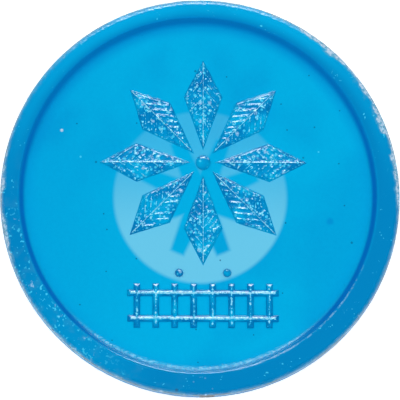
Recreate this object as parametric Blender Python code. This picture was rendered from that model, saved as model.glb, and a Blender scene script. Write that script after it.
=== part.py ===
"""A round transit token, moulded in one shot from translucent plastic.

The origin is the centre of the face that the token rests on, and +Z points out of the obverse.
The real token is one piece of plastic. Here it is split where its features meet, so that the rim,
the thin web inside it and each raised or sunken figure is a solid of its own.
"""

import math

import bmesh
import bpy
from mathutils import Matrix, Vector

MM = 0.001

# Body: driving dimensions
TOKEN_DIAMETER = 25.0 * MM
TOKEN_THICKNESS = 1.75 * MM
EDGE_ROUND = 0.40 * MM  # radius on the two outer edges of the rim
EDGE_SEGMENTS = 4
FIELD_RADIUS = 10.90 * MM  # foot of the rim's inner wall
WALL_RUN = 0.31 * MM  # how far that wall leans outwards on its way up
OBVERSE_DEPTH = 0.42 * MM  # rim top down to the obverse field
REVERSE_DEPTH = 0.35 * MM  # the same on the reverse
FIELD_SHIFT = Vector((-0.14 * MM, 0.11 * MM, 0.0))  # the mould halves don't quite line up
ROUND_STEPS = 96
PIECE_GAP = 0.01 * MM  # left between neighbouring solids

# Rosette on the obverse: eight pointed rays round a small boss
DESIGN_AXIS_X = 0.18 * MM
ROSETTE_CENTRE = Vector((DESIGN_AXIS_X, 2.20 * MM, 0.0))
RAY_COUNT = 8
RAY_INNER = 0.76 * MM
RAY_SHOULDER = 4.15 * MM
RAY_TIP = 6.50 * MM
RAY_HALF_WIDTH = 1.24 * MM
RAY_EDGE_HEIGHT = 0.13 * MM
RAY_CREST_HEIGHT = 0.25 * MM
RAY_DRAFT = 0.88  # top outline over bottom outline
BOSS_RADIUS = 0.46 * MM
BOSS_HEIGHT = 0.24 * MM

# Track motif on the obverse: two rails over a row of sleepers
TRACK_CENTRE = Vector((DESIGN_AXIS_X, -6.82 * MM, 0.0))
TRACK_LENGTH = 9.45 * MM
TRACK_GAUGE = 1.60 * MM  # between the middles of the rails
BAR_WIDTH = 0.40 * MM
BAR_RIDGE = 0.04 * MM  # flat left along a bar's ridge
BAR_WALL = 0.06 * MM
RAIL_HEIGHT = 0.26 * MM
SLEEPER_HEIGHT = 0.23 * MM
SLEEPER_LENGTH = 2.80 * MM
SLEEPER_COUNT = 8

# Two dots between the rosette and the track
DOT_RADIUS = 0.26 * MM
DOT_HEIGHT = 0.20 * MM
DOT_SPREAD = 1.50 * MM  # from the design's axis
DOT_Y = -4.75 * MM

# Toothed ring sunk into the reverse
RING_OUTER = 5.40 * MM
RING_INNER = 3.80 * MM
RING_TOOTH_TIP = 1.60 * MM
RING_TEETH = 8
RING_TOOTH_SPAN = 0.70  # share of each tooth's sector that its foot takes up
RING_DEPTH = 0.22 * MM
RING_STEPS = 96
CUTTER_RUN_OUT = 0.50 * MM

FIELD_TOP = TOKEN_THICKNESS - OBVERSE_DEPTH
RELIEF_BASE = FIELD_TOP + PIECE_GAP

BODY_BLUE = (0.001, 0.390, 0.760, 1.0)
RELIEF_BLUE = (0.001, 0.280, 0.640, 1.0)


def clear_scene():
    for obj in list(bpy.data.objects):
        bpy.data.objects.remove(obj, do_unlink=True)


def plastic(name, colour, roughness):
    material = bpy.data.materials.new(name)
    material.use_nodes = True
    shader = material.node_tree.nodes["Principled BSDF"]
    shader.inputs["Base Color"].default_value = colour
    shader.inputs["Roughness"].default_value = roughness
    shader.inputs["Metallic"].default_value = 0.0
    return material


def add_object(name, mesh, parent, location=(0.0, 0.0, 0.0), turn=0.0):
    obj = bpy.data.objects.new(name, mesh)
    bpy.context.scene.collection.objects.link(obj)
    obj.parent = parent
    obj.location = location
    obj.rotation_euler = (0.0, 0.0, turn)
    return obj


def mesh_from(bm, name, material, smooth_angle=math.radians(30.0)):
    bmesh.ops.recalc_face_normals(bm, faces=bm.faces)
    mesh = bpy.data.meshes.new(name)
    bm.to_mesh(mesh)
    bm.free()
    mesh.materials.append(material)
    mesh.shade_smooth()
    mesh.set_sharp_from_angle(angle=smooth_angle)
    return mesh


def arc_points(centre_r, centre_z, radius, start, end, segments):
    """Points (r, z) along an arc, its two ends included."""
    points = []
    for step in range(segments + 1):
        angle = start + (end - start) * step / segments
        points.append((centre_r + radius * math.cos(angle), centre_z + radius * math.sin(angle)))
    return points


def rim_profile():
    """Half section of the rim, from the obverse foot of its inner wall round to the reverse foot."""
    outer = TOKEN_DIAMETER / 2 - EDGE_ROUND
    top = TOKEN_THICKNESS - EDGE_ROUND
    points = [(FIELD_RADIUS, FIELD_TOP), (FIELD_RADIUS + WALL_RUN, TOKEN_THICKNESS)]
    points += arc_points(outer, top, EDGE_ROUND, math.pi / 2, 0.0, EDGE_SEGMENTS)
    points += arc_points(outer, EDGE_ROUND, EDGE_ROUND, 0.0, -math.pi / 2, EDGE_SEGMENTS)
    points += [(FIELD_RADIUS + WALL_RUN, 0.0), (FIELD_RADIUS, REVERSE_DEPTH)]
    return points


def rim_ring_mesh(material):
    """The rim, turned from its section, with its whole inner side moved off the outer edge's centre."""
    bm = bmesh.new()
    corners = [bm.verts.new((r, 0.0, z)) for r, z in rim_profile()]
    for first, second in zip(corners, corners[1:] + corners[:1]):
        bm.edges.new((first, second))
    section = bm.verts[:] + bm.edges[:]
    bmesh.ops.spin(
        bm,
        geom=section,
        cent=(0.0, 0.0, 0.0),
        axis=(0.0, 0.0, 1.0),
        angle=2 * math.pi,
        steps=ROUND_STEPS,
        use_merge=True,
    )
    inner_side = FIELD_RADIUS + WALL_RUN + EDGE_ROUND / 2
    inner = [vert for vert in bm.verts if vert.co.xy.length < inner_side]
    bmesh.ops.translate(bm, verts=inner, vec=FIELD_SHIFT)
    return mesh_from(bm, "rim_ring", material)


def prism_from_faces(bm, height):
    """Extrudes every face of a flat bmesh upwards into a closed solid."""
    grown = bmesh.ops.extrude_face_region(bm, geom=bm.faces[:])
    raised = [item for item in grown["geom"] if isinstance(item, bmesh.types.BMVert)]
    bmesh.ops.translate(bm, verts=raised, vec=(0.0, 0.0, height))


def field_disc_mesh(material):
    bm = bmesh.new()
    bmesh.ops.create_circle(
        bm, cap_ends=True, segments=ROUND_STEPS, radius=FIELD_RADIUS - PIECE_GAP
    )
    bmesh.ops.translate(bm, verts=bm.verts[:], vec=(0.0, 0.0, REVERSE_DEPTH))
    prism_from_faces(bm, FIELD_TOP - REVERSE_DEPTH)
    return mesh_from(bm, "field_disc", material)


def ring_inner_radius(angle):
    """Inner outline of the sunken ring: an arc with straight-sided teeth that point inwards."""
    sector = 2 * math.pi / RING_TEETH
    from_axis = abs((angle + sector / 2) % sector - sector / 2)
    half_foot = sector / 2 * RING_TOOTH_SPAN
    if from_axis >= half_foot:
        return RING_INNER
    # Where a ray at this angle meets the straight line from the tooth's tip to its foot
    tip = Vector((RING_TOOTH_TIP, 0.0))
    foot = Vector((RING_INNER * math.cos(half_foot), RING_INNER * math.sin(half_foot)))
    side = foot - tip
    ray = Vector((math.cos(from_axis), math.sin(from_axis)))
    return (tip.x * side.y - tip.y * side.x) / (ray.x * side.y - ray.y * side.x)


def ring_cutter_mesh(material):
    bm = bmesh.new()
    outer = bmesh.ops.create_circle(bm, segments=RING_STEPS, radius=RING_OUTER)["verts"]
    inner = bmesh.ops.create_circle(bm, segments=RING_STEPS, radius=RING_INNER)["verts"]
    for vert in inner:
        angle = math.atan2(vert.co.y, vert.co.x)
        vert.co.xy = vert.co.xy.normalized() * ring_inner_radius(angle)
    bmesh.ops.bridge_loops(bm, edges=bm.edges[:])
    bmesh.ops.translate(bm, verts=outer + inner, vec=(0.0, 0.0, REVERSE_DEPTH - CUTTER_RUN_OUT))
    prism_from_faces(bm, RING_DEPTH + CUTTER_RUN_OUT)
    return mesh_from(bm, "sunken_ring_cutter", material)


def ray_mesh(material):
    """One ray lying along +X from the rosette's centre: a kite with drafted sides and a sharp midrib."""
    bm = bmesh.new()
    outline = [
        (RAY_INNER, 0.0),
        (RAY_SHOULDER, -RAY_HALF_WIDTH),
        (RAY_TIP, 0.0),
        (RAY_SHOULDER, RAY_HALF_WIDTH),
    ]
    kite = bm.faces.new([bm.verts.new((x, y, 0.0)) for x, y in outline])
    grown = bmesh.ops.extrude_face_region(bm, geom=[kite])
    top = [item for item in grown["geom"] if isinstance(item, bmesh.types.BMVert)]
    bmesh.ops.translate(bm, verts=top, vec=(0.0, 0.0, RAY_EDGE_HEIGHT))
    about = Matrix.Translation((-RAY_SHOULDER, 0.0, 0.0))
    bmesh.ops.scale(bm, verts=top, vec=(RAY_DRAFT, RAY_DRAFT, 1.0), space=about)
    lid = next(face for face in bm.faces if all(vert in top for vert in face.verts))
    crest = bmesh.ops.poke(bm, faces=[lid])["verts"][0]
    crest.co = (RAY_SHOULDER, 0.0, RAY_CREST_HEIGHT)
    return mesh_from(bm, "rosette_ray", material, math.radians(10.0))


def dome_mesh(name, radius, height, material):
    """A low dome on a flat base."""
    bm = bmesh.new()
    bmesh.ops.create_uvsphere(bm, u_segments=20, v_segments=12, radius=radius)
    everything = bm.verts[:] + bm.edges[:] + bm.faces[:]
    cut = bmesh.ops.bisect_plane(
        bm,
        geom=everything,
        plane_co=(0.0, 0.0, 0.0),
        plane_no=(0.0, 0.0, -1.0),
        clear_outer=True,
    )
    base = [item for item in cut["geom_cut"] if isinstance(item, bmesh.types.BMEdge)]
    bmesh.ops.holes_fill(bm, edges=base)
    bmesh.ops.scale(bm, verts=bm.verts[:], vec=(1.0, 1.0, height / radius))
    return mesh_from(bm, name, material)


def add_bar(bm, centre, length, height, along_y=False):
    """A straight bar with a hipped roof, its ridge at height over z = 0."""
    bar = bmesh.ops.create_cube(bm, size=1.0)["verts"]
    bmesh.ops.translate(bm, verts=bar, vec=(0.0, 0.0, 0.5))
    bmesh.ops.scale(bm, verts=bar, vec=(length, BAR_WIDTH, BAR_WALL))
    faces = {face for vert in bar for face in vert.link_faces}
    lid = max(faces, key=lambda face: face.calc_center_median().z)
    grown = bmesh.ops.extrude_discrete_faces(bm, faces=[lid])["faces"][0]
    roof_shape = ((length - BAR_WIDTH + BAR_RIDGE) / length, BAR_RIDGE / BAR_WIDTH, 1.0)
    bmesh.ops.scale(bm, verts=grown.verts[:], vec=roof_shape)
    bmesh.ops.translate(bm, verts=grown.verts[:], vec=(0.0, 0.0, height - BAR_WALL))
    whole = list({*bar, *grown.verts})
    if along_y:
        bmesh.ops.rotate(bm, verts=whole, matrix=Matrix.Rotation(math.pi / 2, 3, "Z"))
    bmesh.ops.translate(bm, verts=whole, vec=centre)


def rails_mesh(material):
    bm = bmesh.new()
    for side in (-1, 1):
        add_bar(bm, (0.0, side * TRACK_GAUGE / 2, 0.0), TRACK_LENGTH, RAIL_HEIGHT)
    return mesh_from(bm, "track_relief", material, math.radians(10.0))


def sleepers_mesh(material):
    """The sleepers, spread so that the outer two stand well inside the rails' ends."""
    bm = bmesh.new()
    pitch = TRACK_LENGTH / SLEEPER_COUNT
    for number in range(SLEEPER_COUNT):
        x = pitch * (number - (SLEEPER_COUNT - 1) / 2)
        add_bar(bm, (x, 0.0, 0.0), SLEEPER_LENGTH, SLEEPER_HEIGHT, along_y=True)
    return mesh_from(bm, "sleepers_helper", material, math.radians(10.0))


def boolean(obj, tool, operation):
    tool.hide_render = True
    tool.display_type = "WIRE"
    modifier = obj.modifiers.new(operation.lower(), "BOOLEAN")
    modifier.operation = operation
    modifier.solver = "EXACT"
    modifier.object = tool


def build_body(token, material):
    add_object("rim_ring", rim_ring_mesh(material), token)
    disc = add_object("field_disc", field_disc_mesh(material), token, FIELD_SHIFT)
    cutter = add_object("sunken_ring_cutter", ring_cutter_mesh(material), token)
    boolean(disc, cutter, "DIFFERENCE")


def build_rosette(token, material):
    centre = ROSETTE_CENTRE + Vector((0.0, 0.0, RELIEF_BASE))
    ray = ray_mesh(material)
    for number in range(RAY_COUNT):
        turn = math.pi / 2 + 2 * math.pi * number / RAY_COUNT
        add_object(f"rosette_ray_{number + 1}", ray, token, centre, turn)
    boss = dome_mesh("rosette_boss", BOSS_RADIUS, BOSS_HEIGHT, material)
    add_object("rosette_boss", boss, token, centre)


def build_legend(token, material):
    centre = TRACK_CENTRE + Vector((0.0, 0.0, RELIEF_BASE))
    rails = add_object("track_relief", rails_mesh(material), token, centre)
    sleepers = add_object("sleepers_helper", sleepers_mesh(material), token, centre)
    boolean(rails, sleepers, "UNION")
    dot = dome_mesh("legend_dot", DOT_RADIUS, DOT_HEIGHT, material)
    for name, side in (("left", -1), ("right", 1)):
        place = (DESIGN_AXIS_X + side * DOT_SPREAD, DOT_Y, RELIEF_BASE)
        add_object(f"legend_dot_{name}", dot, token, place)


def main():
    clear_scene()
    token = bpy.data.objects.new("token", None)
    bpy.context.scene.collection.objects.link(token)
    body_plastic = plastic("body_plastic", BODY_BLUE, 0.32)
    relief_plastic = plastic("relief_plastic", RELIEF_BLUE, 0.38)
    build_body(token, body_plastic)
    build_rosette(token, relief_plastic)
    build_legend(token, relief_plastic)


main()
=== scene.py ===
"""Finished look of a moulded plastic transit token, on a plain studio floor."""

import math

import bmesh
import bpy
from bpy.props import FloatProperty, FloatVectorProperty, IntProperty, PointerProperty
from mathutils import Matrix, Vector, noise


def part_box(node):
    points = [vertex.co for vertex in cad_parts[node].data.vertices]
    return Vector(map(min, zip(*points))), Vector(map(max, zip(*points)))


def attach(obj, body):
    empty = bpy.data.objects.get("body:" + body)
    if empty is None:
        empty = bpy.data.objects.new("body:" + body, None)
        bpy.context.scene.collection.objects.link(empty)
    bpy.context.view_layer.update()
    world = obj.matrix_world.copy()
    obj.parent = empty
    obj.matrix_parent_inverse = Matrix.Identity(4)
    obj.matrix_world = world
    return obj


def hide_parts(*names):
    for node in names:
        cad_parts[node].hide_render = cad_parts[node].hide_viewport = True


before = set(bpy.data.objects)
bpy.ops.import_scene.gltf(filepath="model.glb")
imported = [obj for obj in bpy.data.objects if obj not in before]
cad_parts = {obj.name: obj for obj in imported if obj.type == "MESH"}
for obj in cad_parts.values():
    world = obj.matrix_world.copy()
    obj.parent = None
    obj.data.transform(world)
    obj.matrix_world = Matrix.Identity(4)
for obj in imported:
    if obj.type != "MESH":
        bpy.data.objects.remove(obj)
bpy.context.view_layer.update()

bl_info = {
    "name": "Transit Token",
    "version": (1, 0, 0),
    "blender": (4, 5, 0),
    "location": "View3D > Sidebar > Token",
    "description": "Builds the finished look of a moulded plastic transit token",
    "category": "Object",
}

MM = 0.001
BODY = "root"
CREST = "crest"


def centre_of(node):
    low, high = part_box(node)
    return (low + high) / 2


def size_of(node):
    low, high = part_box(node)
    return high - low


# Places and sizes that the frame already fixes
TOKEN_RADIUS = size_of("rim_ring").x / 2
TOKEN_THICKNESS = size_of("rim_ring").z
FIELD_CENTRE = centre_of("field_disc")
FIELD_RADIUS = size_of("field_disc").x / 2
FIELD_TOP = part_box("field_disc")[1].z
FIELD_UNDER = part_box("field_disc")[0].z
ROSETTE_CENTRE = centre_of("rosette_boss")
RAY_NODES = [f"rosette_ray_{number}" for number in range(1, 9)]
RAY_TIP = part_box("rosette_ray_1")[1].y - ROSETTE_CENTRE.y
RAY_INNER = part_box("rosette_ray_1")[0].y - ROSETTE_CENTRE.y
RAY_HALF_WIDTH = size_of("rosette_ray_1").x / 2
TRACK_CENTRE = centre_of("track_relief")
TRACK_SIZE = size_of("track_relief")
DOT_NODES = ["legend_dot_left", "legend_dot_right"]

ROUND_STEPS = 720  # steps round the rim and the web
SEAM_INSET = 0.12  # how far in from the wall's foot the rim and the web meet, in millimetres
GLINT_SLOPE = 0.55  # rise per run of the sloped edges of rays and bars
SHARP_ANGLE = math.radians(30.0)

# Segments in the rim's rounded corners
FOOT_SEGMENTS = 6
WALL_SEGMENTS = 5
EDGE_SEGMENTS = 10
PARTING_SEGMENTS = 2

# The raised figures: steps of their grids, then in millimetres how far a grid reaches past the outline,
# how deep its edge is sunk into the web, and how thick the figure is below that
RAY_GRID = (168, 72)
TRACK_GRID = (288, 88)
FIGURE_MARGIN = 0.05
FIGURE_SINK = -0.03
FIGURE_BASE = 0.05
DOME_RISE_STEPS = 12
DOME_ROUND_STEPS = 40
DOME_FLARE = 1.02  # radius of a dome's foot over the dome's radius
DOME_SINK = -0.06  # depth of a dome's foot below the web, in millimetres
RAY_STEP_RUN = 0.09  # run of the steep step along a ray's outline, in millimetres
SEED_STEP = 3.7  # how far apart the rays' patterns of grains lie
SLEEPER_SHARE = 0.92  # a sleeper's height over a rail's

# Directions on the face, each with how far its effect spreads to both sides, in degrees from +X
SHADED = (95.0, 100.0)
LIT_TOP = (90.0, 95.0)
LIT_LOWER_LEFT = (228.0, 30.0)
# Where the inner wall faces the low light and its painted shade is weakest
LIT_WALL = (271.0, 50.0)
WORN_RIGHT = (32.0, 44.0)
WORN_LEFT = (183.0, 24.0)
SCUFFED = (212.0, 38.0)
DULLED = (218.0, 60.0)
NICKED = (308.0, 34.0)
# Where the wall's foot faces the low light and carries a painted highlight
HIGHLIGHT_FOOT = (266.0, 48.0)
ROUGH_FOOT = (266.0, 50.0)

# Heights over the web, in millimetres, at which the painted shade on the rays' and the bars' sides and
# grooves starts to fade, where it is gone, and where they start to hold grains
RAY_HEIGHTS = (0.01, 0.11, 0.03)
BAR_HEIGHTS = (0.03, 0.19, 0.12)

# Single marks, in millimetres from the middle of the face
CHIP_AT = (-8.66, 4.21)
BRUISE_AT = (8.11, -1.48)

# The stage, in metres
FLOOR_HALF = 2.0
FILL_PLACE = (0.0, 0.0, 0.7)
FILL_SIDE = 2.4
GLINT_AWAY = 0.30
GLINT_SIZE = (0.22, 0.11)


# ---------------------------------------------------------------- settings


def length(name, description, default):
    """A size the user can change; it is given in millimetres here and kept in metres."""
    return FloatProperty(
        name=name, description=description, default=default * MM, unit="LENGTH", subtype="DISTANCE"
    )


def colour(name, description, default):
    return FloatVectorProperty(
        name=name, description=description, default=default, size=3, min=0.0, max=1.0, subtype="COLOR"
    )


class TokenBodySettings(bpy.types.PropertyGroup):
    wall_run: length("Wall run", "How far the rim's inner wall leans outwards", 0.31)
    foot_fillet: length("Foot fillet", "Hollow round where the wall meets the field", 0.40)
    wall_fillet: length("Wall edge", "Round on the wall's top edge", 0.12)
    edge_fillet: length("Outer edge", "Round on the rim's outer edges", 0.38)
    side_setback: length("Side setback", "Side's distance behind the parting line", 0.03)
    edge_wear: length("Edge wear", "Depth of the nicks along the outer edges", 0.045)
    wall_wear: length("Wall wear", "Waviness of the wall's top edge", 0.012)
    gate_x: length("Gate place", "Sideways place of the gate's scar on the lower edge", 0.47)
    ring_outer: length("Ring outer radius", "Sunken ring on the reverse", 5.40)
    ring_inner: length("Ring inner radius", "Sunken ring between its teeth", 3.80)
    tooth_tip: length("Tooth tip radius", "Innermost point of a tooth", 1.60)
    ring_depth: length("Ring depth", "Depth of the sunken ring", 0.22)
    ring_edge: length("Ring edge", "Round on the sunken ring's edges", 0.05)
    ring_teeth: IntProperty(name="Teeth", description="Teeth on the sunken ring", default=8, min=3)
    tooth_span: FloatProperty(
        name="Tooth span", description="Share of a sector that a tooth's foot takes", default=0.70,
        min=0.0, max=1.0, subtype="FACTOR",
    )


class TokenReliefSettings(bpy.types.PropertyGroup):
    ray_shoulder: length("Ray shoulder", "Distance out to a ray's widest point", 4.15)
    ray_step: length("Ray step", "Height of the steep step along a ray's outline", 0.05)
    ray_crest: length("Ray crest", "How much a ray's middle stands over its sloped edge", 0.06)
    ray_flank: length("Ray flank", "Run of the sloped edge of a ray", 0.12)
    midrib_height: length("Midrib height", "Height of the midrib over the ribs", 0.045)
    midrib_width: length("Midrib width", "Width of the midrib", 0.11)
    rib_pitch: length("Rib pitch", "Step from rib to rib along a ray", 0.52)
    rib_height: length("Rib height", "Height of a rib over the groove beside it", 0.072)
    rib_sweep: FloatProperty(
        name="Rib sweep", description="How far a rib runs back per width", default=1.15
    )
    grain_height: length("Grain height", "Height of the small grains on the ribs", 0.060)
    bar_width: length("Bar width", "Width of a rail or a sleeper", 0.42)
    bar_height: length("Bar height", "Height of a rail's ridge", 0.20)
    bar_wall: length("Bar wall", "Height of the steep foot of a bar", 0.07)
    track_gauge: length("Track gauge", "Distance between the rails", 1.60)
    sleepers: IntProperty(name="Sleepers", description="Sleepers under the rails", default=8, min=2)


class TokenColourSettings(bpy.types.PropertyGroup):
    field: colour("Field", "The thin web in the middle", (0.0006, 0.438, 0.790))
    # Painted shade: the darker colour laid on the web near the rim, in cloudy patches and towards the left
    foot: colour("Field's edge", "The field close to the rim", (0.0006, 0.285, 0.650))
    # Painted shade: the deep blue laid on the rim's inner wall; the same colour marks a bruise on the web
    wall: colour("Wall", "The rim's inner wall", (0.0004, 0.175, 0.600))
    rim: colour("Rim", "The rim's flat top", (0.0006, 0.240, 0.560))
    rim_light: colour("Lighter rim", "The rim where light comes through it", (0.0006, 0.420, 0.800))
    # Painted light: the paler colour where light comes through the thinner web over the sunken ring
    ghost: colour("Ghost", "Where the ring on the reverse shows through", (0.141, 0.590, 0.847))
    relief: colour("Relief", "Raised figures", (0.0006, 0.300, 0.650))
    # Painted shade on the low sides and in the grooves of the raised figures, also used for random darker
    # regions on them
    relief_shade_and_dark: colour("Relief's foot", "Sides and grooves of the raised figures", (0.0004, 0.190, 0.510))
    # Pale grains: abraded plastic, and on the raised figures also painted glints; it also colours the
    # painted highlight at the wall's foot
    wear_and_glint: colour("Sparkle", "Abraded grains on the raised figures", (0.06, 0.67, 0.97))
    # The whitest grains and the midrib's line: abraded plastic and painted glints
    white_wear_and_glint: colour("Spark", "The whitest abraded grains", (0.38, 0.80, 0.98))
    scuff: colour("Scuff", "Abraded plastic", (0.52, 0.68, 0.85))
    blob: colour("Blob", "Larger abraded spots", (0.32, 0.60, 0.88))
    scuff_blue: colour("Light scuff", "Half abraded plastic", (0.09, 0.37, 0.58))
    grime: colour("Grime", "Dirt along the outer edge", (0.10, 0.12, 0.12))
    gate: colour("Gate", "The dull scar of the gate", (0.055, 0.065, 0.070))
    speck: colour("Speck", "Specks of dirt", (0.003, 0.09, 0.22))


class TokenStageSettings(bpy.types.PropertyGroup):
    tilt: FloatProperty(
        name="Camera tilt", description="Camera's lean off the vertical", default=math.radians(8.0),
        subtype="ANGLE", unit="ROTATION",
    )
    lean_turn: FloatProperty(
        name="Lean direction", description="Way the camera leans, from -Y towards -X",
        default=math.radians(11.8), subtype="ANGLE", unit="ROTATION",
    )
    lens: FloatProperty(
        name="Lens", description="Focal length in millimetres", default=600.0, subtype="DISTANCE_CAMERA"
    )
    margin: FloatProperty(name="Margin", description="Picture width over token width", default=1.0006)
    aim_left: length("Aim left", "How far the camera looks to the left of the middle", 0.001)
    aim_down: length("Aim down", "How far the camera looks below the middle", 0.096)
    fill_power: FloatProperty(
        name="Fill power", description="Overhead soft box, in watts", default=23.4, unit="POWER"
    )
    glint_power: FloatProperty(
        name="Glint power", description="Low soft box that draws the highlights", default=1.25, unit="POWER"
    )
    glint_height: FloatProperty(
        name="Glint height", description="Elevation of the low soft box", default=math.radians(30.0),
        subtype="ANGLE", unit="ROTATION",
    )
    floor_glow: FloatProperty(
        name="Floor glow", description="Light that the pale floor gives by itself", default=0.5
    )


# ---------------------------------------------------------------- mesh helpers


def finished_piece(bm, name, material, nodes):
    """Turns a bmesh in millimetres into a piece at the origin that stands for the given nodes."""
    bmesh.ops.scale(bm, verts=bm.verts[:], vec=(MM, MM, MM))
    bmesh.ops.recalc_face_normals(bm, faces=bm.faces[:])
    mesh = bpy.data.meshes.new(name)
    bm.to_mesh(mesh)
    bm.free()
    mesh.materials.append(material)
    mesh.shade_smooth()
    mesh.set_sharp_from_angle(angle=SHARP_ANGLE)
    piece = bpy.data.objects.new(name, mesh)
    bpy.context.scene.collection.objects.link(piece)
    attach(piece, BODY)
    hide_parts(*nodes)


def smooth(value):
    """0 below 0, 1 above 1 and an easy curve between."""
    value = min(max(value, 0.0), 1.0)
    return value * value * (3.0 - 2.0 * value)


def rounded_outline(corners):
    """Points round a half section whose corners (r, z, round, segments) are each rounded off."""
    points = []
    last = len(corners) - 1
    for index, (r, z, round_off, segments) in enumerate(corners):
        here = Vector((r, z))
        if round_off == 0.0 or index in (0, last):
            points.append(here)
            continue
        back = (Vector(corners[index - 1][:2]) - here).normalized()
        ahead = (Vector(corners[index + 1][:2]) - here).normalized()
        half = back.angle(ahead) / 2
        start = here + back * (round_off / math.tan(half))
        centre = here + (back + ahead).normalized() * (round_off / math.sin(half))
        spoke = start - centre
        sweep = math.pi - 2 * half
        side = 1.0 if back.x * ahead.y - back.y * ahead.x < 0 else -1.0
        for step in range(segments + 1):
            turn = Matrix.Rotation(side * sweep * step / segments, 2)
            points.append(centre + turn @ spoke)
    return points


# ---------------------------------------------------------------- material helpers


class Wire:
    """A value that runs along a node link, so that sums and products of it read as arithmetic."""

    def __init__(self, tree, socket):
        self.tree = tree
        self.socket = socket

    def math(self, operation, *others):
        node = self.tree.nodes.new("ShaderNodeMath")
        node.operation = operation
        for socket, value in zip(node.inputs, (self, *others)):
            plug(self.tree, socket, value)
        return Wire(self.tree, node.outputs[0])

    def __add__(self, other):
        return self.math("ADD", other)

    def __sub__(self, other):
        return self.math("SUBTRACT", other)

    def __mul__(self, other):
        return self.math("MULTIPLY", other)

    def highest(self, other):
        return self.math("MAXIMUM", other)

    def ramp(self, start, end):
        """Eases from 0 at start to 1 at end, either way round."""
        node = self.tree.nodes.new("ShaderNodeMapRange")
        node.interpolation_type = "SMOOTHSTEP"
        plug(self.tree, node.inputs["Value"], self)
        plug(self.tree, node.inputs["From Min"], start)
        plug(self.tree, node.inputs["From Max"], end)
        return Wire(self.tree, node.outputs["Result"])

    def part(self, axis):
        node = self.tree.nodes.new("ShaderNodeSeparateXYZ")
        plug(self.tree, node.inputs[0], self)
        return Wire(self.tree, node.outputs["XYZ".index(axis)])

    def vector(self, operation, other=None, scale=None):
        node = self.tree.nodes.new("ShaderNodeVectorMath")
        node.operation = operation
        plug(self.tree, node.inputs[0], self)
        if other is not None:
            plug(self.tree, node.inputs[1], other)
        if scale is not None:
            plug(self.tree, node.inputs["Scale"], scale)
        name = "Value" if operation == "LENGTH" else "Vector"
        return Wire(self.tree, node.outputs[name])

    def noise(self, scale, detail=2.0, roughness=0.5):
        """Noise from 0 to 1, with scale in features per millimetre."""
        node = self.tree.nodes.new("ShaderNodeTexNoise")
        plug(self.tree, node.inputs["Vector"], self)
        node.inputs["Scale"].default_value = scale
        node.inputs["Detail"].default_value = detail
        node.inputs["Roughness"].default_value = roughness
        return Wire(self.tree, node.outputs["Fac"])

    def spots(self, scale, radius, share, ragged=0.0):
        """Scattered spots: radius is in cells, share is how many cells hold one."""
        node = self.tree.nodes.new("ShaderNodeTexVoronoi")
        node.voronoi_dimensions = "2D"
        plug(self.tree, node.inputs["Vector"], self)
        node.inputs["Scale"].default_value = scale
        distance = Wire(self.tree, node.outputs["Distance"])
        if ragged:
            distance = distance + (self.noise(scale * 4.0, 2.0, 0.7) - 0.5) * ragged
        chance = Wire(self.tree, node.outputs["Color"]).part("X")
        there = chance.ramp(1.0 - share, 1.0 - share + 0.01)
        return distance.ramp(radius, radius * 0.55) * there

    def over(self, top, amount):
        """This colour with another laid over it."""
        node = self.tree.nodes.new("ShaderNodeMix")
        node.data_type = "RGBA"
        node.clamp_factor = True
        plug(self.tree, node.inputs["Factor"], amount)
        plug(self.tree, node.inputs["A"], self)
        plug(self.tree, node.inputs["B"], top)
        return Wire(self.tree, node.outputs["Result"])


def plug(tree, socket, value):
    if isinstance(value, Wire):
        tree.links.new(value.socket, socket)
    elif isinstance(value, (int, float)):
        socket.default_value = value
    else:
        spare = len(socket.default_value) - len(value)
        socket.default_value = (*value, *([1.0] * spare))


def blend(tree, bottom, top, amount):
    """Two fixed colours mixed by an amount that varies over the surface."""
    node = tree.nodes.new("ShaderNodeMix")
    node.data_type = "RGBA"
    plug(tree, node.inputs["Factor"], amount)
    plug(tree, node.inputs["A"], bottom)
    plug(tree, node.inputs["B"], top)
    return Wire(tree, node.outputs["Result"])


def millimetres(tree):
    node = tree.nodes.new("ShaderNodeTexCoord")
    return Wire(tree, node.outputs["Object"]).vector("SCALE", scale=1.0 / MM)


def facing_up(tree):
    node = tree.nodes.new("ShaderNodeNewGeometry")
    return Wire(tree, node.outputs["Normal"]).part("Z")


def distance_from(place, x, y):
    """Distance in the plane of the face from a point given in millimetres."""
    return place.vector("SUBTRACT", (x, y, 0.0)).vector("MULTIPLY", (1.0, 1.0, 0.0)).vector("LENGTH")


def toward(place, degrees, spread):
    """1 in one direction from the middle, counted from +X, and 0 further than spread degrees from it."""
    angle = math.radians(degrees)
    flat = place.vector("MULTIPLY", (1.0, 1.0, 0.0)).vector("NORMALIZE")
    along = flat.vector("MULTIPLY", (math.cos(angle), math.sin(angle), 0.0))
    return (along.part("X") + along.part("Y")).ramp(math.cos(math.radians(spread)), 1.0)


def new_plastic(name):
    """The node tree and the shader of a new material."""
    material = bpy.data.materials.new(name)
    material.use_nodes = True
    tree = material.node_tree
    shader = tree.nodes["Principled BSDF"]
    shader.inputs["Metallic"].default_value = 0.0
    shader.inputs["IOR"].default_value = 1.52
    return tree, shader


def finish(tree, shader, base, roughness, height):
    """Wires a colour, a roughness and a surface height in millimetres to the shader."""
    plug(tree, shader.inputs["Base Color"], base)
    plug(tree, shader.inputs["Roughness"], roughness)
    bump = tree.nodes.new("ShaderNodeBump")
    bump.inputs["Strength"].default_value = 1.0
    bump.inputs["Distance"].default_value = MM
    plug(tree, bump.inputs["Height"], height)
    tree.links.new(bump.outputs["Normal"], shader.inputs["Normal"])


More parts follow.
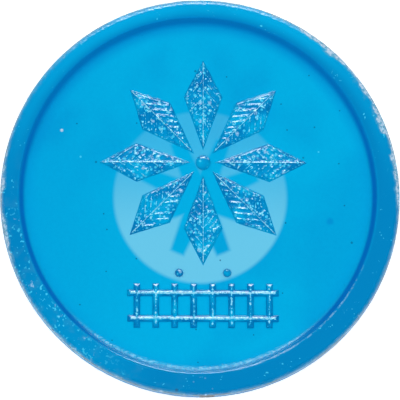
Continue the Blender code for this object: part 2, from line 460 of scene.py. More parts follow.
def ghost_mask(place, settings):
    """Where the toothed ring on the reverse thins the web, with soft edges, from 0 to 1."""
    around = settings.ring_teeth
    tip = settings.tooth_tip / MM
    inner = settings.ring_inner / MM
    outer = settings.ring_outer / MM
    half_foot = math.pi / around * settings.tooth_span
    foot = Vector((inner * math.cos(half_foot), inner * math.sin(half_foot)))
    radius = distance_from(place, 0.0, 0.0)
    angle = place.part("Y").math("ARCTAN2", place.part("X"))
    from_axis = angle.math("PINGPONG", math.pi / around)
    along = radius * from_axis.math("COSINE")
    across = radius * from_axis.math("SINE")
    side = Vector((foot.x - tip, foot.y)).normalized()
    inside = (along - tip) * side.y - across * side.x
    soft = 0.16
    tooth = inside.ramp(-soft, soft)
    band = radius.ramp(inner - soft, inner + soft)
    return tooth.highest(band) * radius.ramp(outer + soft, outer - soft)


class BodyPlaces:
    """Where a point of the rim or the web lies: wires and plain numbers, all in millimetres."""

    def __init__(self, tree, shape):
        self.point = millimetres(tree)
        self.up = facing_up(tree)
        self.foot = FIELD_RADIUS / MM
        self.wall_top = self.foot + shape.wall_run / MM
        self.rim = TOKEN_RADIUS / MM
        self.from_field = distance_from(self.point, FIELD_CENTRE.x / MM, FIELD_CENTRE.y / MM)
        self.from_middle = distance_from(self.point, 0.0, 0.0)
        self.from_parting = (self.point.part("Z") - TOKEN_THICKNESS / MM / 2).math("ABSOLUTE")
        self.north = toward(self.point, *SHADED)
        self.corner = self.from_parting.ramp(0.40, 0.60)
        self.outermost = self.from_middle.ramp(self.rim - 0.12, self.rim - 0.05)


def web_colour(tree, at, shape, colours):
    """The web: painted shade darker towards the rim, most of all at the top, in cloudy patches and towards
    the left, and pale over the sunken ring, where painted light stands for light coming through the thinner
    web.
    """
    # Painted shade along the rim's foot, strongest at the top
    rim_shade = at.from_field.ramp(at.foot - 0.95, at.foot + 0.05)
    base = blend(tree, colours.field, colours.foot, rim_shade * (at.north * 0.75 + 0.25))
    # Painted shade in soft cloudy patches, a fine random mottle, and painted shade growing towards the left
    shade_patches = at.point.noise(0.16, 2.0).ramp(0.47, 0.70)
    mottle = (at.point.noise(5.0, 2.0, 0.7) - 0.35) * 0.35
    left = at.point.part("X").ramp(-3.0, -11.0) * 0.30
    base = base.over(colours.foot, shade_patches * 0.34 + mottle + left)
    # Painted light over the sunken ring, on the obverse only, stronger towards the bottom
    strength = at.point.part("Y").ramp(4.0, -3.0) * 0.72 + 0.28
    return base.over(colours.ghost, ghost_mask(at.point, shape) * at.up.ramp(0.5, 0.9) * strength)


def with_rim_colour(base, tree, at, colours):
    """The rim: deep blue painted shade on its inner wall, wider at the top and weaker at the bottom where
    the wall faces the low light, and lighter where light comes in through the far side.
    """
    light_side = toward(at.point, *LIT_TOP) * at.from_middle.ramp(at.rim - 1.35, at.rim - 0.50)
    light_side = light_side.highest(toward(at.point, *LIT_LOWER_LEFT) * 0.35)
    drift = at.point.noise(0.30, 1.0).ramp(0.30, 0.70) * 0.22 + 0.78
    rim_colour = blend(tree, colours.rim, colours.rim_light, light_side * drift)
    base = base.over(rim_colour, at.from_field.ramp(at.wall_top - 0.16, at.wall_top + 0.16))
    # Painted shade on the inner wall, from its foot to its top edge, softer and wider at the top
    soft = at.north * 0.20 + 0.06
    from_foot = at.from_field.ramp(soft * -1.0 + (at.foot - 0.03), soft + (at.foot + 0.03))
    to_top = at.from_field.ramp(soft + (at.wall_top + 0.01), soft * -1.0 + (at.wall_top - 0.05))
    # The wall's painted shade is weaker at the bottom, where the wall faces the low light
    lit_wall_side = toward(at.point, *LIT_WALL) * -0.75 + 1.0
    wall_shade = from_foot * to_top * lit_wall_side * (at.north * -0.16 + 1.0)
    return base.over(colours.wall, wall_shade)


def edge_worn(at):
    """Where the outer edges are worn, most of all to the right and left, and the fringe round that."""
    east = toward(at.point, *WORN_RIGHT)
    west = toward(at.point, *WORN_LEFT)
    patches = at.point.noise(0.7, 2.0, 0.6).ramp(0.36, 0.60)
    reach = patches * (east * 0.20 + west * 0.12 + 0.10) + (east * 0.17 + west * 0.05)
    ragged = (at.point.noise(3.2, 4.0, 0.7) - 0.5) * 0.34
    edge = (at.from_middle + ragged) - (reach * -1.0 + (at.rim + 0.02))
    return edge.ramp(-0.03, 0.05) * at.corner, edge.ramp(-0.16, 0.0) * at.corner


def with_edge_wear(base, tree, at, colours, worn, fringe):
    """Abraded plastic, rubbed patches and dirt along the outer edges."""
    mottle = at.point.noise(5.5, 4.0, 0.75).ramp(0.42, 0.56)
    base = base.over(colours.scuff_blue, fringe * 0.5)
    base = base.over(blend(tree, colours.scuff_blue, colours.scuff, mottle), worn * 0.9)
    rubbed = at.point.noise(0.9, 4.0, 0.7).ramp(0.50, 0.64)
    base = base.over(colours.scuff_blue, rubbed * at.outermost * 0.45)
    dirt = at.outermost * at.point.noise(1.1, 3.0).ramp(0.36, 0.58)
    return base.over(colours.grime, dirt * (at.corner * 0.50 + 0.12))


def with_rim_scuffs(base, at, colours):
    """Small scuffs on the rim's flat top, most of them at the lower left, and nicks on its inner edge."""
    point = at.point
    on_rim = at.from_field.ramp(at.wall_top - 0.04, at.wall_top + 0.10)
    crowd = toward(point, *SCUFFED)
    flecks = point.noise(5.5, 1.0).ramp(0.61, 0.67) * point.noise(1.1, 1.0).ramp(0.42, 0.52)
    broken = point.noise(7.0, 2.0).ramp(0.35, 0.62) * 0.7 + 0.3
    clumps = point.noise(1.5, 3.0, 0.7).ramp(0.62, 0.70) * broken
    strays = point.noise(5.5, 1.0).ramp(0.69, 0.72) * point.noise(0.6, 1.0).ramp(0.50, 0.60)
    by_gate = distance_from(point, 0.1, 0.50 - at.rim).ramp(0.8, 0.5) * point.spots(2.6, 0.22, 0.40, 0.2)
    dull = point.noise(1.2, 3.0).ramp(0.48, 0.66) * toward(point, *DULLED)
    base = base.over(colours.scuff_blue, dull * on_rim * 0.12)
    base = base.over(colours.wear_and_glint, (flecks * crowd).highest(strays) * on_rim * 0.8)
    base = base.over(colours.blob, clumps.highest(by_gate) * crowd.highest(by_gate) * on_rim * 0.8)
    on_edge = at.from_field.ramp(at.wall_top - 0.05, at.wall_top + 0.01)
    on_edge = on_edge * at.from_field.ramp(at.wall_top + 0.11, at.wall_top + 0.03)
    nicks = point.noise(1.3, 4.0, 0.75).ramp(0.46, 0.60) * toward(point, *NICKED)
    return base.over(colours.blob, nicks * on_edge * 0.6)


def with_web_marks(base, at, colours):
    """A painted highlight of pale granules at the foot of the wall at the bottom, specks of dirt on the web,
    a pale chip and a bruise.
    """
    point = at.point
    on_foot = at.from_field.ramp(at.foot - 0.22, at.foot - 0.04)
    on_foot = on_foot * at.from_field.ramp(at.foot + 0.16, at.foot + 0.06)
    # Painted highlight: pale granules where the wall's foot at the bottom faces the low light
    foot_highlight = point.noise(4.5, 3.0, 0.7).ramp(0.42, 0.56) * toward(point, *HIGHLIGHT_FOOT)
    base = base.over(colours.wear_and_glint, foot_highlight * on_foot * 0.45)
    on_web = at.from_field.ramp(at.foot - 0.1, at.foot - 0.4)
    specks = point.spots(0.55, 0.030, 0.34, 0.02).highest(point.spots(0.31, 0.028, 0.16, 0.02) * 0.7)
    base = base.over(colours.speck, specks * on_web * 0.85)
    base = base.over(colours.wear_and_glint, point.spots(0.27, 0.020, 0.06, 0.02) * on_web * 0.8)
    obverse = at.up.ramp(0.5, 0.9)
    chip = distance_from(point, *CHIP_AT).ramp(0.13, 0.05)
    base = base.over(colours.scuff, chip * obverse * 0.9)
    bruise = distance_from(point, *BRUISE_AT).ramp(0.32, 0.08)
    return base.over(colours.wall, bruise * obverse * 0.4)


def with_gate_scar(base, at, shape, colours):
    """The scar of the gate where the plastic came in, with a small stain to its left."""
    gate_x = shape.gate_x / MM
    gate = distance_from(at.point, gate_x, -at.rim - 1.0).ramp(1.17, 1.11)
    gate = gate * at.from_parting.ramp(0.62, 0.52)
    stain = distance_from(at.point, gate_x - 1.95, 0.35 - at.rim).ramp(0.16, 0.02)
    return base.over(colours.gate, (gate * 0.95).highest(stain * 0.5))


def body_surface(at, worn):
    """Roughness and fine relief: rougher where worn, pebbled at the wall's foot, dented near the edge."""
    near_foot = at.from_field.ramp(at.foot - 0.35, at.foot - 0.05)
    near_foot = near_foot * at.from_field.ramp(at.foot + 0.25, at.foot + 0.10)
    near_foot = near_foot * toward(at.point, *ROUGH_FOOT)
    near_edge = at.from_middle.ramp(at.rim - 0.42, at.rim - 0.20)
    plain = at.point.noise(0.8, 2.0) * 0.06 + 0.16
    roughness = worn * 0.34 + near_foot * 0.24 + near_edge * 0.10 + plain
    grit = (at.point.noise(7.0, 2.0) - 0.5) * 0.020
    pebble = (at.point.noise(4.5, 2.0) - 0.5) * 0.110 * near_foot
    dents = (at.point.noise(2.2, 3.0, 0.7) - 0.5) * 0.12 * near_edge
    height = grit * worn + at.point.noise(1.1, 1.0) * 0.0012 + pebble + dents
    return roughness, height


def body_finish(name, shape, colours):
    """Blue plastic of the rim and the web, coloured by how thick and how worn it is at each place, with
    painted shade, painted light and a painted highlight.
    """
    tree, shader = new_plastic(name)
    at = BodyPlaces(tree, shape)
    worn, fringe = edge_worn(at)
    base = web_colour(tree, at, shape, colours)
    base = with_rim_colour(base, tree, at, colours)
    base = with_edge_wear(base, tree, at, colours, worn, fringe)
    base = with_rim_scuffs(base, at, colours)
    base = with_web_marks(base, at, colours)
    base = with_gate_scar(base, at, shape, colours)
    roughness, height = body_surface(at, worn)
    finish(tree, shader, base, roughness, height)


def relief_finish(name, colours, pale_from, pale_to, grains_from):
    """The same plastic where it stands up, with painted shade low down and pale grains on its high places,
    partly abraded plastic and partly painted glints.

    pale_from, pale_to and grains_from are heights over the web, in millimetres."""
    tree, shader = new_plastic(name)
    place = millimetres(tree)
    height = place.part("Z") - FIELD_TOP / MM
    worn = crest_of(tree)
    # Painted shade: darker low on the sides and in the grooves, paler higher up
    pale = height.ramp(pale_from, pale_to)
    base = blend(tree, colours.relief_shade_and_dark, colours.relief, pale)
    base = base.over(colours.field, height.ramp(0.07, 0.02) * 0.8)
    # Random darker and lighter regions
    region = place.noise(0.75, 1.0)
    base = base.over(colours.relief_shade_and_dark, region.ramp(0.52, 0.36) * 0.7)
    base = base.over(colours.field, region.ramp(0.50, 0.64) * pale * 0.8)
    on_top = height.ramp(grains_from, grains_from + 0.09)
    # Pale grains along the crests, the midrib and the outline, with dots and the whitest grains on top:
    # abraded plastic and painted glints
    grain = place.noise(7.0, 2.0, 0.6) + worn * 0.24
    base = base.over(colours.wear_and_glint, grain.ramp(0.69, 0.73) * height.ramp(0.03, 0.08) * 0.9)
    dots = place.spots(3.6, 0.36, 0.22, 0.25) * on_top
    base = base.over(colours.wear_and_glint, dots * 0.9)
    base = base.over(colours.white_wear_and_glint, worn.ramp(1.05, 1.30) * 0.5)
    base = base.over(colours.white_wear_and_glint, grain.ramp(0.74, 0.80) * on_top * 0.7)
    blotch = place.spots(1.7, 0.24, 0.14, 0.35) * place.noise(9.0, 2.0).ramp(0.36, 0.50)
    base = base.over(colours.blob, blotch * on_top * 0.8)
    roughness = place.noise(3.0, 2.0) * 0.10 + 0.14
    finish(tree, shader, base, roughness, place.noise(9.0, 1.0) * 0.006)


def crest_of(tree):
    """How much a point of a raised figure stands over what is around it, from 0 to 1."""
    node = tree.nodes.new("ShaderNodeAttribute")
    node.attribute_name = CREST
    return Wire(tree, node.outputs["Fac"])


# ---------------------------------------------------------------- body pieces


def rim_corners(shape):
    """Corners of the rim's half section in millimetres, from the obverse web round to the reverse web."""
    foot = FIELD_RADIUS / MM
    top = TOKEN_THICKNESS / MM
    seam = foot - SEAM_INSET
    wall_top = foot + shape.wall_run / MM
    parting = TOKEN_RADIUS / MM
    side = parting - shape.side_setback / MM
    flash = shape.side_setback / MM * 1.6
    round_in = shape.foot_fillet / MM
    round_wall = shape.wall_fillet / MM
    round_out = shape.edge_fillet / MM
    return [
        (seam, FIELD_TOP / MM, 0.0, 0),
        (foot, FIELD_TOP / MM, round_in, FOOT_SEGMENTS),
        (wall_top, top, round_wall, WALL_SEGMENTS),
        (side, top, round_out, EDGE_SEGMENTS),
        (side, top / 2 + flash, 0.02, PARTING_SEGMENTS),
        (parting, top / 2, 0.01, PARTING_SEGMENTS),
        (side, top / 2 - flash, 0.02, PARTING_SEGMENTS),
        (side, 0.0, round_out, EDGE_SEGMENTS),
        (wall_top, 0.0, round_wall, WALL_SEGMENTS),
        (foot, FIELD_UNDER / MM, round_in, FOOT_SEGMENTS),
        (seam, FIELD_UNDER / MM, 0.0, 0),
    ]


def wear_rim(bm, shape):
    """Knocks small nicks into the outer edges and makes the inner wall's top edge slightly wavy."""
    rim = TOKEN_RADIUS / MM
    top = TOKEN_THICKNESS / MM
    nick = shape.edge_wear / MM
    wave = shape.wall_wear / MM
    wall_top = (FIELD_RADIUS + shape.wall_run) / MM
    for vert in bm.verts:
        place = vert.co.copy()
        radius = place.xy.length
        out = Vector((place.x, place.y, 0.0)) / radius
        edge_height = abs(place.z - top / 2) / (top / 2)
        near_edge = smooth((radius - (rim - 0.45)) / 0.3) * smooth((edge_height - 0.35) / 0.4)
        if near_edge > 0.0:
            chips = max(0.0, noise.noise(place * 1.3) - 0.05) + 0.5 * abs(noise.noise(place * 3.7))
            depth = nick * near_edge * chips
            outwards = Vector((0.0, 0.0, math.copysign(0.7, place.z - top / 2)))
            vert.co -= (out * 0.7 + outwards) * depth
        elif abs(radius - wall_top) < 0.35 and edge_height > 0.93:
            vert.co += out * (wave * noise.noise(place * 1.6))


class TOKEN_OT_rim(bpy.types.Operator):
    """Turns the raised rim from its section, moves its inner side off centre and wears its edges"""

    bl_idname = "transit_token.make_rim"
    bl_label = "Make rim"

    def execute(self, context):
        shape = context.scene.token_body
        bm = bmesh.new()
        section = [bm.verts.new((p.x, 0.0, p.y)) for p in rounded_outline(rim_corners(shape))]
        for first, second in zip(section, section[1:] + section[:1]):
            bm.edges.new((first, second))
        bmesh.ops.spin(
            bm,
            geom=bm.verts[:] + bm.edges[:],
            cent=(0.0, 0.0, 0.0),
            axis=(0.0, 0.0, 1.0),
            angle=2 * math.pi,
            steps=ROUND_STEPS,
            use_merge=True,
        )
        inner_side = (FIELD_RADIUS + shape.wall_run) / MM + 0.2
        inner = [vert for vert in bm.verts if vert.co.xy.length < inner_side]
        shift = Vector((FIELD_CENTRE.x / MM, FIELD_CENTRE.y / MM, 0.0))
        wear_rim(bm, shape)
        bmesh.ops.translate(bm, verts=inner, vec=shift)
        finished_piece(bm, "token_rim", material_named("token_body_plastic"), ["rim_ring"])
        return {"FINISHED"}


def ring_inner_radius(angle, shape):
    """Inner outline of the sunken ring, in millimetres: an arc with straight-sided teeth."""
    sector = 2 * math.pi / shape.ring_teeth
    from_axis = abs((angle + sector / 2) % sector - sector / 2)
    half_foot = sector / 2 * shape.tooth_span
    inner = shape.ring_inner / MM
    tip = shape.tooth_tip / MM
    if from_axis >= half_foot:
        return inner
    foot = Vector((inner * math.cos(half_foot), inner * math.sin(half_foot)))
    side = foot - Vector((tip, 0.0))
    return tip * side.y / (math.cos(from_axis) * side.y - math.sin(from_axis) * side.x)


def next_ring(bm, edges, z, radius_at, old_centre, centre):
    """Extrudes a ring of edges round old_centre into one round centre, with radius_at(angle) at height z."""
    grown = bmesh.ops.extrude_edge_only(bm, edges=edges)["geom"]
    for vert in grown:
        if isinstance(vert, bmesh.types.BMVert):
            angle = math.atan2(vert.co.y - old_centre[1], vert.co.x - old_centre[0])
            radius = radius_at(angle)
            vert.co = (centre[0] + radius * math.cos(angle), centre[1] + radius * math.sin(angle), z)
    return [item for item in grown if isinstance(item, bmesh.types.BMEdge) and len(item.link_faces) == 1]


def recess_wall(shape):
    """Steps down the sunken ring's wall, in millimetres: distance back from the wall, and depth."""
    round_off = shape.ring_edge / MM
    depth = shape.ring_depth / MM
    flat = round_off + 0.03
    turns = [math.pi / 2 * step / 3 for step in range(4)]
    brim = [(round_off * (1 - math.sin(turn)), round_off * (1 - math.cos(turn))) for turn in turns]
    floor = [(-step_back, depth - step_down) for step_down, step_back in brim]
    return [(flat, 0.0), *brim, *floor, (-flat, depth)]


class TOKEN_OT_field(bpy.types.Operator):
    """Builds the thin web inside the rim, with the toothed ring sunk into its reverse"""

    bl_idname = "transit_token.make_field"
    bl_label = "Make field"

    def execute(self, context):
        shape = context.scene.token_body
        under = FIELD_UNDER / MM
        outer = shape.ring_outer / MM
        seam = FIELD_RADIUS / MM - SEAM_INSET
        centre = (FIELD_CENTRE.x / MM, FIELD_CENTRE.y / MM)
        middle = (0.0, 0.0)
        rings = [(under, lambda angle: seam, centre)]
        for back, depth in recess_wall(shape):
            rings.append((under + depth, lambda angle, back=back: outer + back, middle))
        for back, depth in reversed(recess_wall(shape)):
            rings.append(
                (under + depth, lambda angle, back=back: ring_inner_radius(angle, shape) - back, middle)
            )
        bm = bmesh.new()
        place = Matrix.Translation((*centre, FIELD_TOP / MM))
        bmesh.ops.create_circle(bm, cap_ends=True, radius=seam, segments=ROUND_STEPS, matrix=place)
        edges = bm.edges[:]
        old_centre = centre
        for z, radius_at, ring_centre in rings:
            edges = next_ring(bm, edges, z, radius_at, old_centre, ring_centre)
            old_centre = ring_centre
        bmesh.ops.holes_fill(bm, edges=edges, sides=ROUND_STEPS)
        finished_piece(bm, "token_field", material_named("token_body_plastic"), ["field_disc"])
        return {"FINISHED"}


# ---------------------------------------------------------------- raised figures


def kite_inset(x, y, shape):
    """Distance in from a ray's outline, in millimetres: negative outside it."""
    inner = RAY_INNER / MM
    tip = RAY_TIP / MM
    shoulder = shape.ray_shoulder / MM
    half = RAY_HALF_WIDTH / MM
    y = abs(y)
    near_centre = ((x - inner) * half - y * (shoulder - inner)) / math.hypot(half, shoulder - inner)
    near_tip = ((tip - x) * half - y * (tip - shoulder)) / math.hypot(half, tip - shoulder)
    return min(near_centre, near_tip)


def kite_half_width(x, shape):
    inner = RAY_INNER / MM
    tip = RAY_TIP / MM
    shoulder = shape.ray_shoulder / MM
    half = RAY_HALF_WIDTH / MM
    if x < shoulder:
        return half * max(0.0, (x - inner) / (shoulder - inner))
    return half * max(0.0, (tip - x) / (tip - shoulder))


def rib_wave(x, y, shape):
    """0 in the groove between two ribs, 1 on a rib's narrow crest."""
    phase = (x + abs(y) * shape.rib_sweep) / (shape.rib_pitch / MM)
    return abs((phase % 1.0) * 2.0 - 1.0) ** 1.9


def midrib(y, shape):
    return math.exp(-((y / (shape.midrib_width / MM / 2)) ** 2))


def grains(point):
    """Scattered pimples, from 0 between them to about 1 on the highest."""
    coarse = max(0.0, noise.noise(point * 3.4) - 0.18)
    fine = max(0.0, noise.noise(point * 7.5) - 0.22)
    return coarse * 1.6 + fine * 1.3


def ray_height(x, y, shape, seed):
    """Height of a ray's surface over the web, in millimetres, at a point of the ray lying along +X."""
    inset = kite_inset(x, y, shape)
    flank = shape.ray_flank / MM
    if inset <= 0.0:
        return inset * 2.0
    point = Vector((x, y, seed))
    step = shape.ray_step / MM * smooth(inset / RAY_STEP_RUN)
    chamfer = GLINT_SLOPE * min(max(inset - RAY_STEP_RUN * 0.7, 0.0), flank)
    crown = (shape.ray_crest / MM) * smooth((inset - flank) / (RAY_HALF_WIDTH / MM * 0.8))
    inside = smooth((inset - flank) / 0.10) * smooth((abs(y) - 0.04) / 0.10)
    broken = 0.85 + 0.7 * noise.noise(point * 2.3)
    ribs = (rib_wave(x, y, shape) * broken - 0.3) * shape.rib_height / MM * inside
    spine = shape.midrib_height / MM * midrib(y, shape) * smooth(inset / flank)
    pimples = shape.grain_height / MM * grains(point) * smooth((inset - 0.03) / 0.10)
    return step + chamfer + crown + ribs + spine + pimples


def ray_crest(x, y, shape, seed):
    """1 along a ray's midrib, its ribs' crests and its grains, and 0 in the grooves."""
    inset = kite_inset(x, y, shape)
    flank = shape.ray_flank / MM
    outline = smooth((inset - 0.02) / 0.06) * smooth((1.6 * flank - inset) / flank)
    ribs = smooth(rib_wave(x, y, shape) * 2.0 - 1.0) * smooth((inset - flank) / 0.1)
    pimples = smooth(grains(Vector((x, y, seed))) * 2.5)
    spine = 1.4 * midrib(y * 1.9, shape) * smooth(inset / flank)
    return max(outline * 0.6, ribs, pimples * 0.8, spine)


class TOKEN_OT_rosette(bpy.types.Operator):
    """Builds the eight ribbed rays and the small boss between them"""

    bl_idname = "transit_token.make_rosette"
    bl_label = "Make rosette"

    def execute(self, context):
        shape = context.scene.token_relief
        material = material_named("token_ray_plastic")
        for number, node in enumerate(RAY_NODES):
            self.make_ray(shape, material, number, node)
        make_dome("token_boss", material, "rosette_boss")
        return {"FINISHED"}

    def make_ray(self, shape, material, number, node):
        start = RAY_INNER / MM - FIGURE_MARGIN
        reach = (RAY_TIP - RAY_INNER) / MM + 2 * FIGURE_MARGIN
        seed = number * SEED_STEP

        def place_at(u, v):
            x = start + reach * (u + 1) / 2
            return x, v * (kite_half_width(x, shape) + FIGURE_MARGIN)

        bm = figure(
            RAY_GRID,
            place_at,
            lambda x, y: ray_height(x, y, shape, seed),
            lambda x, y: ray_crest(x, y, shape, seed),
        )
        turn = math.pi / 2 + 2 * math.pi * number / len(RAY_NODES)
        move_figure(bm, ROSETTE_CENTRE, turn)
        finished_piece(bm, f"token_ray_{number + 1}", material, [node])


def figure(grid, place_at, height_at, crest_at):
    """A closed figure in millimetres whose top follows height_at, with its outline sunk into the web.

    place_at turns grid coordinates from -1 to 1 into a point of the figure, and crest_at says how
    much the figure is worn there."""
    bm = bmesh.new()
    crest = bm.verts.layers.float.new(CREST)
    bmesh.ops.create_grid(bm, x_segments=grid[0], y_segments=grid[1], size=1.0)
    for vert in bm.verts:
        x, y = place_at(vert.co.x, vert.co.y)
        vert.co = (x, y, max(height_at(x, y), FIGURE_SINK))
        vert[crest] = crest_at(x, y)
    lowest = FIGURE_SINK + 1e-6
    hidden = [face for face in bm.faces if all(vert.co.z <= lowest for vert in face.verts)]
    bmesh.ops.delete(bm, geom=hidden, context="FACES")
    bmesh.ops.recalc_face_normals(bm, faces=bm.faces[:])
    grown = bmesh.ops.extrude_face_region(bm, geom=bm.faces[:], use_keep_orig=True)
    under = [item for item in grown["geom"] if isinstance(item, bmesh.types.BMVert)]
    for vert in under:
        vert.co.z = FIGURE_SINK - FIGURE_BASE
    return bm


def move_figure(bm, centre, turn=0.0):
    """Turns a figure about Z and sets it down on the web at a centre given in metres."""
    bmesh.ops.rotate(bm, verts=bm.verts[:], matrix=Matrix.Rotation(turn, 3, "Z"))
    place = Vector((centre.x / MM, centre.y / MM, FIELD_TOP / MM))
    bmesh.ops.translate(bm, verts=bm.verts[:], vec=place)


def make_dome(name, material, node):
    """A low dome with a small flare at its foot, turned from its section."""
    radius = size_of(node).x / 2 / MM
    height = (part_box(node)[1].z - FIELD_TOP) / MM
    bm = bmesh.new()
    section = []
    for step in range(DOME_RISE_STEPS + 1):
        angle = math.pi / 2 * step / DOME_RISE_STEPS
        r = radius * math.cos(angle) ** 0.9
        section.append(bm.verts.new((r, 0.0, height * math.sin(angle))))
    section.insert(0, bm.verts.new((radius * DOME_FLARE, 0.0, DOME_SINK)))
    for first, second in zip(section, section[1:]):
        bm.edges.new((first, second))
    bmesh.ops.spin(
        bm, geom=bm.verts[:] + bm.edges[:], cent=(0.0, 0.0, 0.0), axis=(0.0, 0.0, 1.0),
        angle=2 * math.pi, steps=DOME_ROUND_STEPS, use_merge=True,
    )
    bmesh.ops.remove_doubles(bm, verts=bm.verts[:], dist=1e-4)
    bmesh.ops.holes_fill(bm, edges=bm.edges[:], sides=DOME_ROUND_STEPS)
    move_figure(bm, centre_of(node))
    finished_piece(bm, name, material, [node])


def bar_height(along, across, half_length, width, wall, crest):
    """Height of a bar over the web at a point of it: round sides, sloped ends, negative outside it."""
    half = width / 2
    side = half - abs(across)
    end = half_length - abs(along)
    inset = min(side, end)
    if inset <= 0.0:
        return inset * 2.0
    round_side = (crest - wall) * (1.0 - (1.0 - side / half) ** 1.6)
    slope = GLINT_SLOPE * end
    return wall * smooth(inset / 0.05) + min(round_side, slope)


class TOKEN_OT_track(bpy.types.Operator):
    """Builds the track motif, two rails over a row of sleepers, and the two dots above it"""

    bl_idname = "transit_token.make_track"
    bl_label = "Make track"

    def execute(self, context):
        shape = context.scene.token_relief
        material = material_named("token_bar_plastic")
        length_x = TRACK_SIZE.x / MM
        length_y = TRACK_SIZE.y / MM
        width = shape.bar_width / MM
        wall = shape.bar_wall / MM
        crest = shape.bar_height / MM
        gauge = shape.track_gauge / MM
        grain = shape.grain_height / MM * 0.5
        pitch = length_x / shape.sleepers
        sleeper_xs = [pitch * (number - (shape.sleepers - 1) / 2) for number in range(shape.sleepers)]

        def height_at(x, y):
            rails = max(
                bar_height(x, y - side * gauge / 2, length_x / 2, width, wall, crest) for side in (-1, 1)
            )
            sleepers = max(
                bar_height(y, x - at, length_y / 2, width, wall, crest * SLEEPER_SHARE)
                for at in sleeper_xs
            )
            height = max(rails, sleepers)
            if height > 0.0:
                height += grain * grains(Vector((x, y, 2.3))) * smooth(height / 0.08)
            return height

        def crest_at(x, y):
            return 1.2 * smooth((height_at(x, y) / crest - 0.84) / 0.12)

        reach_x = length_x / 2 + FIGURE_MARGIN
        reach_y = length_y / 2 + FIGURE_MARGIN
        bm = figure(TRACK_GRID, lambda u, v: (u * reach_x, v * reach_y), height_at, crest_at)
        move_figure(bm, TRACK_CENTRE)
        finished_piece(bm, "token_track", material, ["track_relief"])
        for node in DOT_NODES:
            make_dome(f"token_{node}", material, node)
        return {"FINISHED"}


# ---------------------------------------------------------------- materials and stage


def material_named(name):
    """The material with this name, made on its first use."""
    scene = bpy.context.scene
    if name not in bpy.data.materials:
        if name == "token_body_plastic":
            body_finish(name, scene.token_body, scene.token_colours)
        elif name == "token_ray_plastic":
            relief_finish(name, scene.token_colours, *RAY_HEIGHTS)
        else:
            relief_finish(name, scene.token_colours, *BAR_HEIGHTS)
    return bpy.data.materials[name]


def soft_box(name, place, size_x, size_y, power):
    """A rectangular studio light that faces the token."""
    light = bpy.data.lights.new(name, "AREA")
    light.shape = "RECTANGLE"
    light.size = size_x
    light.size_y = size_y
    light.energy = power
    lamp = bpy.data.objects.new(name, light)
    bpy.context.scene.collection.objects.link(lamp)
    lamp.location = place
    lamp.rotation_euler = (-Vector(place)).to_track_quat("-Z", "Y").to_euler()
    return lamp


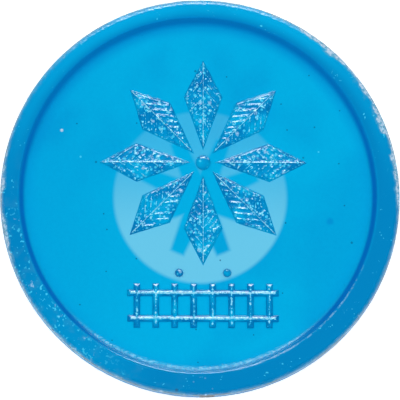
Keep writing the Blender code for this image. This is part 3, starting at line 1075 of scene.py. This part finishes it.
class TOKEN_OT_stage(bpy.types.Operator):
    """Sets up the plain floor, the soft studio light and the camera"""

    bl_idname = "transit_token.make_stage"
    bl_label = "Make stage"

    def execute(self, context):
        stage = context.scene.token_stage
        self.make_floor(stage)
        self.make_light(context.scene, stage)
        self.make_camera(context.scene, stage)
        context.scene.view_settings.view_transform = "Standard"
        return {"FINISHED"}

    def make_floor(self, stage):
        bm = bmesh.new()
        bmesh.ops.create_grid(bm, x_segments=1, y_segments=1, size=FLOOR_HALF)
        mesh = bpy.data.meshes.new("stage_floor")
        bm.to_mesh(mesh)
        bm.free()
        material = bpy.data.materials.new("stage_floor")
        material.use_nodes = True
        shader = material.node_tree.nodes["Principled BSDF"]
        shader.inputs["Base Color"].default_value = (0.94, 0.94, 0.94, 1.0)
        shader.inputs["Roughness"].default_value = 0.9
        shader.inputs["Specular IOR Level"].default_value = 0.0
        shader.inputs["Emission Color"].default_value = (1.0, 1.0, 1.0, 1.0)
        shader.inputs["Emission Strength"].default_value = stage.floor_glow
        mesh.materials.append(material)
        floor = bpy.data.objects.new("stage_floor", mesh)
        bpy.context.scene.collection.objects.link(floor)

    def make_light(self, scene, stage):
        world = bpy.data.worlds.new("stage_world")
        scene.world = world
        world.use_nodes = True
        background = world.node_tree.nodes["Background"]
        background.inputs["Color"].default_value = (1.0, 1.0, 1.0, 1.0)
        background.inputs["Strength"].default_value = 1.0
        world.cycles_visibility.glossy = False
        world.cycles_visibility.diffuse = False
        fill = soft_box("fill_box", FILL_PLACE, FILL_SIDE, FILL_SIDE, stage.fill_power)
        fill.visible_glossy = False
        fill.data.cycles.use_multiple_importance_sampling = False
        place = Vector((0.0, math.cos(stage.glint_height), math.sin(stage.glint_height))) * GLINT_AWAY
        glint = soft_box("glint_box", place, *GLINT_SIZE, stage.glint_power)
        glint.visible_diffuse = False

    def make_camera(self, scene, stage):
        camera = bpy.data.cameras.new("camera")
        camera.lens = stage.lens
        camera.clip_start = 0.005
        camera.clip_end = 20.0
        view = bpy.data.objects.new("camera", camera)
        scene.collection.objects.link(view)
        lean = Vector((-math.sin(stage.lean_turn), -math.cos(stage.lean_turn), 0.0))
        ahead = -(lean * math.sin(stage.tilt) + Vector((0.0, 0.0, math.cos(stage.tilt))))
        right = ahead.cross(Vector((0.0, 1.0, 0.0))).normalized()
        up = right.cross(ahead)
        width = 2 * TOKEN_RADIUS * stage.margin
        away = width * stage.lens / camera.sensor_width
        middle = Vector((0.0, 0.0, TOKEN_THICKNESS / 2))
        target = middle - right * stage.aim_left - up * stage.aim_down
        turn = Matrix((right, up, -ahead)).transposed().to_4x4()
        view.matrix_world = Matrix.Translation(target - ahead * away) @ turn
        scene.camera = view


# ---------------------------------------------------------------- panel and run


class TOKEN_PT_panel(bpy.types.Panel):
    """Lists the steps that build the token's look"""

    bl_idname = "TOKEN_PT_panel"
    bl_label = "Transit Token"
    bl_space_type = "VIEW_3D"
    bl_region_type = "UI"
    bl_category = "Token"

    def draw(self, context):
        for operator in OPERATORS:
            self.layout.operator(operator.bl_idname)


OPERATORS = (TOKEN_OT_rim, TOKEN_OT_field, TOKEN_OT_rosette, TOKEN_OT_track, TOKEN_OT_stage)
SETTINGS = {
    "token_body": TokenBodySettings,
    "token_relief": TokenReliefSettings,
    "token_colours": TokenColourSettings,
    "token_stage": TokenStageSettings,
}
CLASSES = (*SETTINGS.values(), *OPERATORS, TOKEN_PT_panel)


def register():
    for cls in CLASSES:
        bpy.utils.register_class(cls)
    for name, group in SETTINGS.items():
        setattr(bpy.types.Scene, name, PointerProperty(type=group))


def unregister():
    for name in SETTINGS:
        delattr(bpy.types.Scene, name)
    for cls in reversed(CLASSES):
        bpy.utils.unregister_class(cls)


def main():
    register()
    bpy.ops.transit_token.make_stage()
    bpy.ops.transit_token.make_rim()
    bpy.ops.transit_token.make_field()
    bpy.ops.transit_token.make_rosette()
    bpy.ops.transit_token.make_track()


if __name__ == "__main__":
    main()
